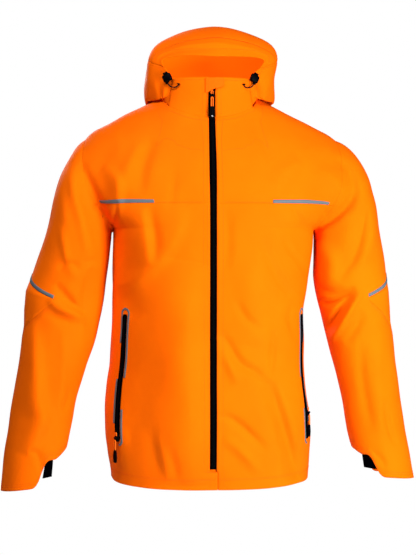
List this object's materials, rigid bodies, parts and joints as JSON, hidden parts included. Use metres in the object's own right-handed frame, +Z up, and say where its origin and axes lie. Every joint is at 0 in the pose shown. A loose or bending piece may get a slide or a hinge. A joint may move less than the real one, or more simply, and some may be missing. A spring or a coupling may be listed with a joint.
{
  "type": "hooded work jacket",
  "caption": "Filled-out hooded shell jacket with a front zip, slanted side pocket zips with reflective frames, reflective strips at chest and elbows, and hand-covering cuffs.",
  "frame": {"origin": "middle of the neck opening, where the wearer holds the jacket up", "axes": "+X to the viewer's right when the front is seen, -Y out of the front, +Z up"},
  "size_m": [0.798, 0.3095, 0.8942],
  "materials": {
    "shell_fabric": "matte woven shell cloth, bright orange",
    "black_zip": "black woven zip tape with moulded teeth",
    "reflective": "grey retro-reflective film",
    "black_plastic": "black moulded plastic and rubber"
  },
  "bodies": {
    "jacket": {"back": "shell_fabric", "chest_tape_left": "reflective", "chest_tape_right": "reflective", "collar_left": "shell_fabric", "collar_right": "shell_fabric", "cord_lock_left": "black_plastic", "cord_lock_right": "black_plastic", "cord_loop_left": "black_plastic", "cord_loop_right": "black_plastic", "cuff_tab_left": "black_plastic", "cuff_tab_right": "black_plastic", "elbow_left": "shell_fabric", "elbow_right": "shell_fabric", "elbow_tape_left": "reflective", "elbow_tape_right": "reflective", "front_lower_left": "shell_fabric", "front_lower_right": "shell_fabric", "front_yoke_left": "shell_fabric", "front_yoke_right": "shell_fabric", "front_zip_chain": "black_zip", "front_zip_slider": "black_plastic", "front_zip_tape": "black_zip", "hood_center": "shell_fabric", "hood_side_left": "shell_fabric", "hood_side_right": "shell_fabric", "hood_visor": "shell_fabric", "pocket_slider_left": "black_plastic", "pocket_slider_right": "black_plastic", "pocket_trim_left": "reflective", "pocket_trim_right": "reflective", "pocket_zip_left": "black_zip", "pocket_zip_right": "black_zip", "sleeve_left": "shell_fabric", "sleeve_right": "shell_fabric", "zip_garage": "shell_fabric"},
    "front_pull": {"front_zip_pull": "black_plastic"},
    "left_pull": {"pocket_pull_left": "black_plastic"},
    "right_pull": {"pocket_pull_right": "black_plastic"}
  },
  "joints": [
    {"name": "front_pull_swing", "type": "hinge", "parent": "jacket", "child": "front_pull", "pos_m": [0, -0.09934, 0.013], "axis": [-1, 0, 0], "range_deg": [0, 150]},
    {"name": "left_pull_swing", "type": "hinge", "parent": "jacket", "child": "left_pull", "pos_m": [-0.18234, -0.07885, -0.63443], "axis": [-0.6322, 0.7748, 0], "range_deg": [0, 150]},
    {"name": "right_pull_swing", "type": "hinge", "parent": "jacket", "child": "right_pull", "pos_m": [0.18977, -0.06166, -0.58951], "axis": [-0.4457, -0.8952, 0], "range_deg": [0, 150]}
  ]
}
